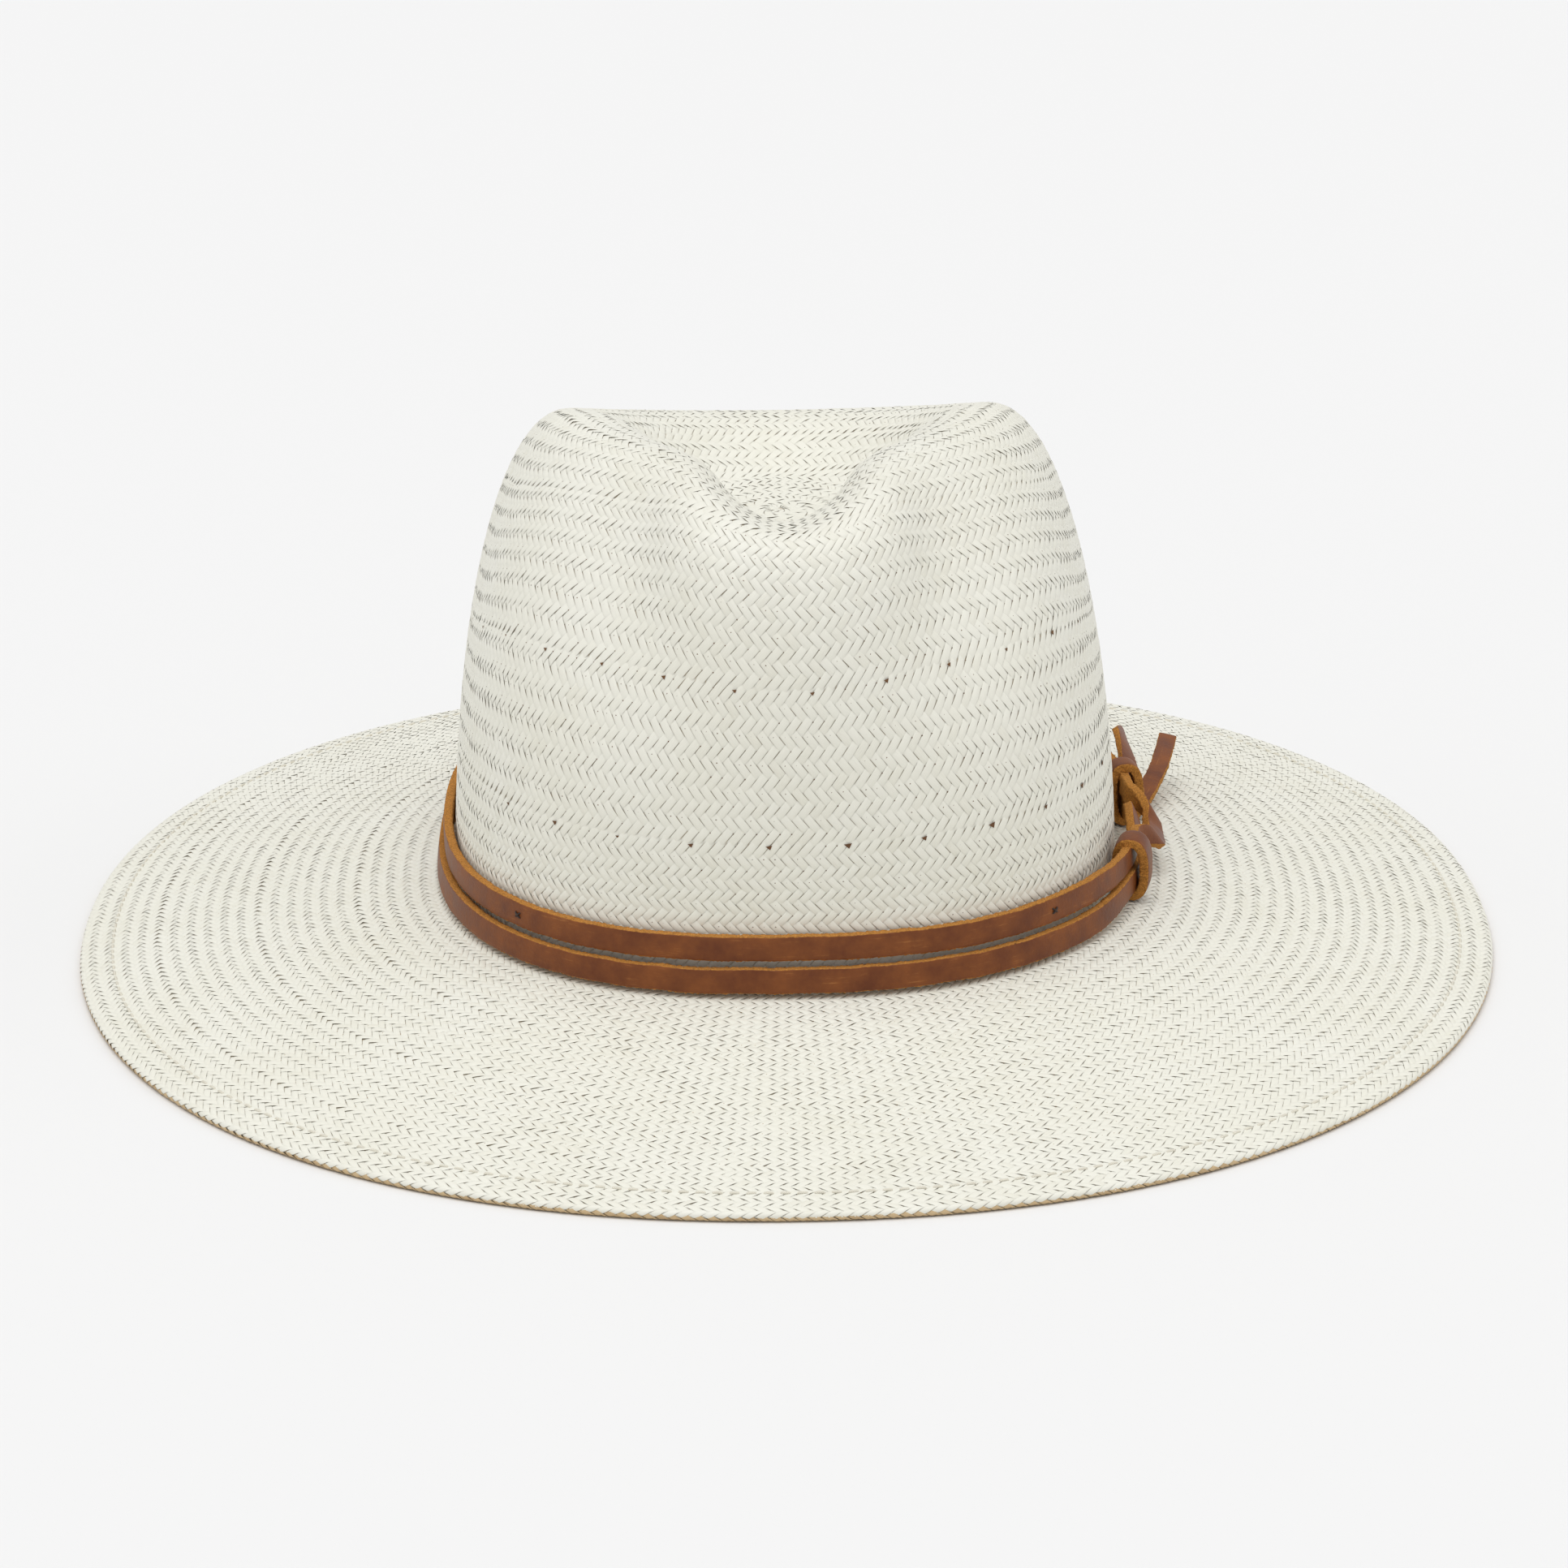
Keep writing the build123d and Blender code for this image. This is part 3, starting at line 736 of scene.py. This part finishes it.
def lace(name, centre, wide, out, low, high, thickness, closed, seed, node, body=HAT):
    """Leather strip along a path, with a smooth outer face and rough raw edges."""
    across, through, raw = strip_section()
    count, sides = len(centre), len(across)
    fuzz = np.random.default_rng(seed).standard_normal((2, count, sides)).clip(-2, 2)
    share = (across[None, :] + 1) / 2
    w = low[:, None] + (high - low)[:, None] * share
    narrow = np.clip((high - low) / (2 * MM), 0.05, 1)[:, None]
    w = w + 0.10 * MM * fuzz[0] * raw * narrow + 0.12 * MM * wander(count, 9, seed, closed)[:, None]
    t = thickness / 2 * through[None, :] * narrow ** 0.3 + 0.09 * MM * fuzz[1] * (0.08 + raw)
    points = centre[:, None] + wide[:, None] * w[..., None] + out[:, None] * t[..., None]
    steps = np.linalg.norm(np.diff(centre, axis=0), axis=1)
    run = np.concatenate([[0], np.cumsum(steps)]) / MM
    edge = np.tile(raw, (count, 1))
    if not closed:
        for end in (0, -1):
            middle = points[end].mean(0)
            shrunk = middle + (points[end] - middle) * 0.9
            rings = [shrunk[None], np.repeat(middle[None, None], sides, 1)]
            order = rings[::-1] if end == 0 else rings
            points = np.concatenate(order + [points]) if end == 0 else np.concatenate([points] + order)
        run = np.concatenate([[run[0], run[0]], run, [run[-1], run[-1]]])
        edge = np.concatenate([np.ones((2, sides)), edge, np.ones((2, sides))])
    rows = len(points)
    around = np.cumsum(np.hypot(np.diff(across, prepend=across[0]) * 2.4,
                                np.diff(through, prepend=through[0]) * 1.2))
    faces = grid_faces(rows, sides, close_rows=closed, close_cols=True)
    uv = np.stack([np.tile((run / (run[-1] + 0.5))[:, None], (1, sides)),
                   np.tile((around / (around[-1] + 1.0))[None], (rows, 1))], -1).reshape(-1, 2)
    fibre = np.stack([np.tile(run[:, None], (1, sides)), np.tile(around[None] + seed * 3.1, (rows, 1)),
                      edge], -1).reshape(-1, 3)
    piece = mesh_piece(name, points.reshape(-1, 3), faces, leather, uv, fibre)
    return dress(piece, node, body)


def lap(name, step, low, high, crossing, seed, node):
    """One round of the lace: it crosses the other round between the two knots."""
    angle = np.linspace(0, 2 * pi, 1300, endpoint=False) - pi
    x, y = lap_curve(band_gap + step + lace_thickness / 2, angle)
    ax, ay = lap_curve(band_gap + step + lace_thickness / 2, angle + STEP)
    along = unit(np.stack([ax - x, ay - y, 0 * x], -1))
    out = np.stack([along[:, 1], -along[:, 0], 0 * x], -1)
    up = np.tile(UP, (len(x), 1))
    near = np.where(x > 0, 1 - np.abs(y - knot_middle) / cross_reach, 0).clip(0, 1)
    free = np.where(x > 0, smooth_step(np.abs(y - knot_middle), 36 * MM, 60 * MM), 1.0)
    shift, drop, lean, flare, sag = crossing
    outwards = shift * smooth_step(near, 0.1, 0.6) + flare * free
    climb = drop * smooth_step(near, 0.15, 0.85) - sag * free
    turn = radians(lean) * smooth_step(near, 0.1, 0.8) + radians(4.0) * free * (flare > 0)
    turn = turn + radians(3.0) * wander(len(x), 130, seed + 1)
    climb = climb + 0.14 * MM * wander(len(x), 90, seed + 2)
    centre = np.stack([x, y, np.full_like(x, (low + high) / 2)], -1)
    centre = centre + out * outwards[:, None] + up * climb[:, None]
    wide = up * np.cos(turn)[:, None] - out * np.sin(turn)[:, None]
    face = out * np.cos(turn)[:, None] + up * np.sin(turn)[:, None]
    half = (high - low) / 2 + 0.3 * MM * free
    return lace(name, centre, wide, face, -half, half, lace_thickness - 0.2 * MM, True, seed, node)


def knot_frame(y):
    """Middle of a knot on the laces' path, with its outward and lengthwise directions."""
    angle = np.arctan2(y, crown_half_width)
    for _ in range(6):
        angle = np.arcsin(y / np.hypot(*lap_curve(band_gap, angle)))
    span = keeper_span / 2 / np.hypot(*lap_curve(band_gap, angle))
    ax, ay = lap_curve(band_gap, angle - span)
    bx, by = lap_curve(band_gap, angle + span)
    along = unit(np.array([bx - ax, by - ay, 0]))
    return np.array([(ax + bx) / 2, (ay + by) / 2, 0]), np.array([along[1], -along[0], 0]), along


def knot(name, y, lean, seed, node, body):
    """Sliding knot: a wide strip of lace wrapped round both laps."""
    origin, out, along = knot_frame(y)
    low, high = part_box(node)
    angle = np.linspace(0, 2 * pi, knot_points, endpoint=False)
    x, z = oval(knot_half_depth, knot_half_height, knot_squareness, angle)
    ax, az = oval(knot_half_depth, knot_half_height, knot_squareness, angle + STEP)
    tangent = unit(np.stack([ax - x, az - z], -1))
    centre = origin + out * (x + knot_shift)[:, None] + UP * z[:, None]
    centre = centre + UP * ((low[2] + high[2]) / 2) - along * (lean * z)[:, None]
    face = out * tangent[:, 1:] - UP * tangent[:, :1]
    wide = np.tile(unit(along + UP * lean * 0.3), (knot_points, 1))
    half = (keeper_span / 2) * (1 + 0.07 * wander(knot_points, 18, seed))
    return lace(name, centre, wide, face, -half, half, knot_thickness, True, seed, node, body)


def tail(name, node, tip_point, bend, sideways, twist, seed):
    """Free end of the lace: it leaves the rear knot, then bends and twists a little."""
    joint = next(j for j in frame["record"]["behaviour"]["joints"] if j["child"] == node)
    pivot = np.array(joint["pos_m"])
    solid = frame["nodes"][node]
    corners = np.array([solid.matrix_world @ v.co for v in solid.data.vertices])
    away = np.linalg.norm(corners - pivot, axis=1)
    end = corners[away > away.max() - 1 * MM].mean(0)
    line = unit(end - pivot)
    total = np.linalg.norm(end - pivot)
    side = unit(np.cross(UP, line))
    up = np.cross(line, side)
    s = np.linspace(-0.10, 1, 120)
    arch = np.sin(pi * s.clip(0, 1))
    centre = pivot + line * (s * total)[:, None] + up * (bend * arch)[:, None]
    centre = centre + side * (sideways * arch + 2.0 * MM * smooth_step(-s, 0, 0.1))[:, None]
    along = unit(np.gradient(centre, axis=0))
    turn = radians(twist) * smooth_step(s, -0.1, 0.8)
    wide = unit(np.cross(up, along)) * np.cos(turn)[:, None] + up * np.sin(turn)[:, None]
    face = np.cross(along, wide)
    cut = np.clip((s * total - (total - tip_point)) / max(tip_point, 0.001 * MM), 0, 1)
    top = tail_half_width - cut * (2 * tail_half_width - tail_tip_width)
    low = np.full_like(s, -tail_half_width)
    return lace(name, centre, wide, face, low, top, tail_thickness, False, seed, node, node)


def make_laces():
    """Both rounds of the lace, both knots and both free ends; the last number is a seed."""
    lap("upper_lace", 0.0, upper_level, upper_level + lace_height,
        (5.2 * MM, -5.2 * MM, 48.0, 0.0, 0.0), 11, "hatband_upper_lap")
    lap("lower_lace", lap_step, lower_level, lower_level + lace_height,
        (-1.2 * MM, 6.0 * MM, 24.0, 0.9 * MM, 1.1 * MM), 23, "hatband_lower_lap")
    knot("front_knot_wrap", front_knot_y, 0.14, 31, "front_keeper", "front_knot")
    knot("rear_knot_wrap", rear_knot_y, -0.06, 37, "rear_keeper", "rear_knot")
    tail("pointed_tail", "upper_tail", 9 * MM, 1.0 * MM, 0.0, 55.0, 41)
    tail("square_tail", "lower_tail", 0.0, 0.8 * MM, -1.4 * MM, 12.0, 43)


# ---------------------------------------------------------------- threads
def stitch_row(name, points, along, normal, length, radius, material, node):
    """Stitches that rise out of the surface and dive back into it."""
    rings, sides = 7, 6
    s = np.linspace(-1, 1, rings)
    angle = np.arange(sides) * 2 * pi / sides
    thick = radius * np.sqrt(np.clip(1.04 - s ** 6, 0, 1))
    rise = radius * (0.5 - 1.6 * s ** 4)
    across = np.cross(along, normal)
    ring = (across[:, None, None] * (np.cos(angle) * thick[:, None])[None, ..., None]
            + normal[:, None, None] * (np.sin(angle) * thick[:, None])[None, ..., None])
    spine = (points[:, None] + along[:, None] * (s * length / 2)[None, :, None]
             + normal[:, None] * rise[None, :, None])
    mesh = (spine[:, :, None] + ring).reshape(-1, 3)
    faces = grid_faces(rings, sides, close_cols=True)
    faces = (faces[None] + (np.arange(len(points)) * rings * sides)[:, None, None]).reshape(-1, 4)
    tone = np.stack([np.tile(np.repeat(s * 4, sides), len(points)),
                     np.tile(np.tile(angle, rings), len(points)),
                     np.repeat(rng.random(len(points)), rings * sides)], -1)
    piece = mesh_piece(name, mesh, faces, material, None, tone)
    return dress(piece, node)


def closed_run(curve, count):
    """Evenly spaced points round a closed curve, with their directions."""
    angle = np.linspace(0, 2 * pi, 1441)
    x, y = curve(angle)
    run = np.concatenate([[0], np.cumsum(np.hypot(np.diff(x), np.diff(y)))])
    angle = np.interp(np.arange(count) / count * run[-1], run, angle)
    x, y = curve(angle)
    ax, ay = curve(angle + STEP)
    along = unit(np.stack([ax - x, ay - y, 0 * x], -1))
    return np.stack([x, y], -1), along


def wall_at(angle, level, depth):
    """Point of the crown's wall at a level, moved inwards by a depth."""
    rise = np.clip((level - break_level) / (ridge(angle)[2] - break_level), 0, 1)
    v = np.arcsin(rise) * 2 / pi
    here = wall_point(angle, v)
    ahead = wall_point(angle + STEP, v)
    side = unit(np.cross(ahead - here, UP))
    here = here - side * depth
    here[..., 2] = level
    return here


brim_stitch_count = 300
brim_stitch_inset = 8.5 * MM
brim_stitch_length = 3.1 * MM
brim_stitch_radius = 0.36 * MM
tack_angles = (-131.0, -51.0)
tack_length = 2.7 * MM
tack_radius = 0.27 * MM


def make_brim_stitches():
    """Row of cream stitches that holds the hem."""
    flat, along = closed_run(lambda a: edge_oval(brim_stitch_inset, a), brim_stitch_count)
    share = (brim_stitch_inset - slab_inset) / (brim_width - slab_inset)
    level = slab_level + (break_level - slab_level) * share + 0.02 * MM
    points = np.concatenate([flat, np.full((brim_stitch_count, 1), level)], 1)
    normal = np.tile(UP, (brim_stitch_count, 1))
    stitch_row("brim_stitches", points, along, normal, brim_stitch_length, brim_stitch_radius,
               cream_thread, "brim_stitching")


def make_tacks():
    """Crossed stitches of dark thread through the upper lap."""
    points, alongs, normals = [], [], []
    for degrees in tack_angles:
        angle = np.array([radians(degrees)])
        offset = band_gap + lace_thickness - 0.05 * MM
        x, y = lap_curve(offset, angle)
        ax, ay = lap_curve(offset, angle + STEP)
        along = unit(np.stack([ax - x, ay - y, 0 * x], -1))[0]
        normal = np.array([along[1], -along[0], 0])
        for lean in (0.72, -0.72):
            points.append([x[0], y[0], upper_level + lace_height / 2])
            alongs.append(unit(along + UP * lean))
            normals.append(normal)
    stitch_row("tack_stitches", np.array(points), np.array(alongs), np.array(normals),
               tack_length, tack_radius, dark_thread, "band_tacks")


# ---------------------------------------------------------------- inside of the crown
sweat_depth = straw_thickness + band_gap
sweat_thickness = 1.1 * MM
sweat_low = break_level - 0.6 * MM
sweat_high = sweat_low + 33 * MM
sweat_face = sweat_depth + sweat_thickness
sweat_stitch_count = 150
sweat_stitch_height = 6 * MM
sweat_stitch_length = 3.0 * MM
sweat_stitch_radius = 0.3 * MM
reed_radius = 1.0 * MM
reed_gap = 0.05 * MM
reed_points = 900
reed_sides = 14
label_thickness = 0.4 * MM


def band_grid(name, angle, levels, depths, material, closed, node):
    """Band inside the crown: one row of points for each pair of level and depth."""
    rows = [wall_at(angle, np.full_like(angle, z), d) for z, d in zip(levels, depths)]
    points = np.stack(rows)
    count = len(angle)
    faces = grid_faces(len(rows), count, close_rows=True, close_cols=closed)
    u = np.tile(np.linspace(0, 1, count), (len(rows), 1))
    v = np.tile(np.linspace(0, 1, len(rows))[:, None], (1, count))
    piece = mesh_piece(name, points.reshape(-1, 3), faces[:, ::-1], material,
                       np.stack([u, v], -1).reshape(-1, 2))
    return dress(piece, node)


def make_sweatband():
    """Leather band with a thin rolled top edge, and the stitches that sew it in."""
    angle = np.linspace(0, 2 * pi, 360, endpoint=False)
    rise = np.linspace(0, 1, 18)
    inner = sweat_low + (sweat_high - sweat_low) * rise
    roll = 0.3 * MM * np.exp(-((1 - rise) / 0.04) ** 2)
    levels = np.concatenate([inner[::-1], inner[::3]])
    depths = np.concatenate([(sweat_face - roll)[::-1], np.full(6, sweat_depth + 0.05 * MM)])
    band_grid("sweatband_leather", angle, levels, depths, sweat_leather, True,
              "sweatband")
    angle = np.linspace(0, 2 * pi, sweat_stitch_count, endpoint=False)
    level = np.full(sweat_stitch_count, sweat_low + sweat_stitch_height)
    here = wall_at(angle, level, sweat_face)
    along = unit(wall_at(angle + STEP, level, sweat_face) - here)
    normal = np.cross(along, -UP)
    stitch_row("sweatband_stitches", here, along, normal, sweat_stitch_length,
               sweat_stitch_radius, tan_thread, "sweatband_stitching")


def make_reed():
    """Piping: a round cord under a thin skin, with a fine diagonal rib."""
    angle = np.linspace(0, 2 * pi, reed_points, endpoint=False)
    depth = sweat_depth + reed_radius
    x, y = base_oval(-depth, angle)
    ax, ay = base_oval(-depth, angle + STEP)
    along = unit(np.stack([ax - x, ay - y, 0 * x], -1))
    out = np.stack([along[:, 1], -along[:, 0], 0 * x], -1)
    level = sweat_low - reed_gap - reed_radius
    turn = np.arange(reed_sides) * 2 * pi / reed_sides
    rib = reed_radius * (0.97 + 0.03 * np.sin(3 * turn[None] + angle[:, None] * 120))
    points = (np.stack([x, y, np.full_like(x, level)], -1)[:, None]
              + out[:, None] * (rib * np.cos(turn)[None])[..., None]
              + UP * (rib * np.sin(turn)[None])[..., None])
    piece = mesh_piece("reed_piping", points.reshape(-1, 3),
                       grid_faces(reed_points, reed_sides, True, True), sweat_leather)
    dress(piece, "sweatband_reed")


def ribbon_strip(name, path, width, thick):
    """Flat ribbon along a path in the XY plane, its width upright."""
    along = unit(np.gradient(path, axis=0))
    out = np.stack([along[:, 1], -along[:, 0], 0 * along[:, 0]], -1)
    section = np.array([(-1, 1), (-0.5, 1), (0, 1), (0.5, 1), (1, 1), (1, -1), (0, -1), (-1, -1)])
    points = (path[:, None] + UP * (section[:, 0] * width / 2)[None, :, None]
              + out[:, None] * (section[:, 1] * thick / 2)[None, :, None])
    piece = mesh_piece(name, points.reshape(-1, 3),
                       grid_faces(len(path), len(section), close_cols=True), ribbon)
    return dress(piece, "sweatband_bow")


def make_bow():
    """Two flat loops and a knot of ribbon at the back of the sweatband."""
    low, high = (np.array(corner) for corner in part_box("sweatband_bow"))
    middle = (low + high) / 2
    depth = high[1] - 1.0 * MM
    for name, side in (("bow_left_loop", -1), ("bow_right_loop", 1)):
        turn = np.linspace(-pi, pi, 40)
        x = middle[0] + side * (0.4 * MM + 3.2 * MM * (1 + np.cos(turn)))
        y = depth + 0.55 * MM * np.sin(turn) * (1 + 0.2 * np.cos(turn))
        ribbon_strip(name, np.stack([x, y, np.full_like(x, middle[2])], -1), 5.6 * MM, 0.3 * MM)
    turn = np.linspace(-pi, pi, 32)
    x, y = oval(1.4 * MM, 1.1 * MM, 3.0, turn)
    path = np.stack([x + middle[0], y + depth - 0.1 * MM, np.full_like(x, middle[2])], -1)
    ribbon_strip("bow_knot", path, 3.2 * MM, 0.35 * MM)


def make_label():
    """Blank cloth tag that lies against the sweatband, between the ends of its CAD box."""
    low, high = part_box("size_label")
    x = np.linspace(low[0], high[0], 60)
    table = np.linspace(pi / 2 - 0.2, pi / 2 + 0.8, 400)
    xs = wall_at(table, np.full_like(table, (low[2] + high[2]) / 2), sweat_face + band_gap)[:, 0]
    angle = np.interp(x, xs[::-1], table[::-1])[::-1]
    rise = np.linspace(low[2], high[2], 14)
    levels = np.concatenate([rise[::-1], rise[::4]])
    depths = np.concatenate([np.full(14, sweat_face + band_gap + label_thickness),
                             np.full(4, sweat_face + band_gap)])
    band_grid("size_label_cloth", angle, levels, depths, label, False, "size_label")


def finish_wire():
    """The wire in the rolled edge keeps its own mesh and gets a steel finish."""
    wire = frame["nodes"]["brim_edge_wire"]
    wire.data.materials.clear()
    wire.data.materials.append(steel)


weave_crown()
weave_brim()
make_laces()
make_brim_stitches()
make_tacks()
make_sweatband()
make_reed()
make_bow()
make_label()
finish_wire()


# ---------------------------------------------------------------- stage, light and camera
def make_stage():
    """Pale floor and an even white sky."""
    n = Nodes("pale_floor")
    n.shader.inputs["Base Color"].default_value = (0.82, 0.82, 0.82, 1)
    n.shader.inputs["Roughness"].default_value = 0.9
    points = 6.0 * np.array([[-1, -1, 0], [1, -1, 0], [1, 1, 0], [-1, 1, 0]])
    floor = mesh_piece("floor", points, np.array([[0, 1, 2, 3]]), n.material, smooth=False)
    world = bpy.data.worlds.new("studio")
    bpy.context.scene.world = world
    world.use_nodes = True
    world.node_tree.nodes["Background"].inputs[0].default_value = (1.0, 1.0, 1.0, 1)
    world.node_tree.nodes["Background"].inputs[1].default_value = 0.62


def add_sun(name, direction, softness, strength):
    data = bpy.data.lights.new(name, "SUN")
    data.angle = radians(softness)
    data.energy = strength
    lamp = bpy.data.objects.new(name, data)
    lamp.rotation_euler = Vector(direction).to_track_quat("-Z", "Y").to_euler()
    bpy.context.scene.collection.objects.link(lamp)


def make_lights():
    add_sun("top_softbox", (0.10, 0.22, -1.0), 55, 1.40)
    add_sun("left_softbox", (0.9, 0.1, -0.8), 40, 0.10)
    add_sun("right_softbox", (-0.9, 0.1, -0.8), 40, 0.24)


def make_camera():
    """Long lens from in front and above, where the object is seen at its own height."""
    elevation, azimuth, roll = radians(18.75), radians(1.0), radians(-0.57)
    distance, per_metre = 1.35, 4765.0
    frame_size, sensor = 1932.0, 36.0
    target = Vector((0, 0, 0.0371))
    away = Vector((-sin(azimuth) * cos(elevation), -cos(azimuth) * cos(elevation), sin(elevation)))
    data = bpy.data.cameras.new("camera")
    data.sensor_width = sensor
    data.lens = sensor * per_metre * distance / frame_size
    data.clip_start = 0.05
    camera = bpy.data.objects.new("camera", data)
    camera.location = target + away * distance
    look = (target - camera.location).to_track_quat("-Z", "Y")
    camera.rotation_euler = (look @ Euler((0, 0, roll)).to_quaternion()).to_euler()
    bpy.context.scene.collection.objects.link(camera)
    bpy.context.scene.camera = camera


make_stage()
make_lights()
make_camera()
bpy.context.scene.view_settings.view_transform = "Standard"
